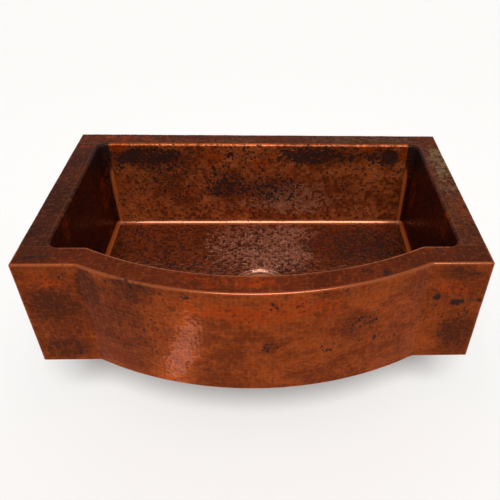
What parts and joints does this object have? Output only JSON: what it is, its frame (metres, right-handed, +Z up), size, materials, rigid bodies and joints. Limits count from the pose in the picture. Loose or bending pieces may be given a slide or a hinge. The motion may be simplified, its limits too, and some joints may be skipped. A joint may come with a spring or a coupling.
{
  "type": "apron-front kitchen sink",
  "caption": "Apron-front kitchen sink of hammered copper sheet with a bowed front, a flat rim all round, one deep basin and a lift-out basket drain.",
  "frame": {"origin": "on the drain's axis, in the plane of the basin floor's underside, where the cabinet's platform carries the sink", "axes": "+X to the right along the sink's width, +Y to the back, away from the bowed apron, +Z up along the drain's axis"},
  "size_m": [0.838, 0.559, 0.3873],
  "materials": {
    "copper_basin": "hammered copper, fired patina, lacquered",
    "copper_rim": "hammered copper, fired patina, lacquered",
    "copper_apron": "hammered copper, fired patina, lacquered",
    "drain_copper": "copper-finished brass, satin",
    "putty": "matt",
    "black_rubber": "matt",
    "fibre": "matt",
    "cast_metal": "as cast",
    "washer_plastic": "matt",
    "brass": "turned"
  },
  "bodies": {
    "sink": {"basin_floor": "copper_basin", "basin_back_wall": "copper_basin", "basin_left_wall": "copper_basin", "basin_right_wall": "copper_basin", "basin_front_wall": "copper_basin", "rim_back": "copper_rim", "rim_left": "copper_rim", "rim_right": "copper_rim", "rim_front": "copper_rim", "apron_front": "copper_apron", "strainer_body": "drain_copper", "putty_ring": "putty", "rubber_gasket": "black_rubber", "fibre_ring": "fibre", "locknut": "cast_metal", "tailpiece_washer": "washer_plastic", "coupling_nut": "drain_copper", "tailpiece": "drain_copper"},
    "basket": {"basket_cup": "drain_copper", "basket_stopper": "black_rubber", "stopper_nut": "brass", "basket_stem": "brass", "basket_knob": "drain_copper"}
  },
  "joints": [
    {"name": "basket_lift", "type": "slide", "parent": "sink", "child": "basket", "axis": [0, 0, 1], "range_m": [0, 0.29]}
  ]
}
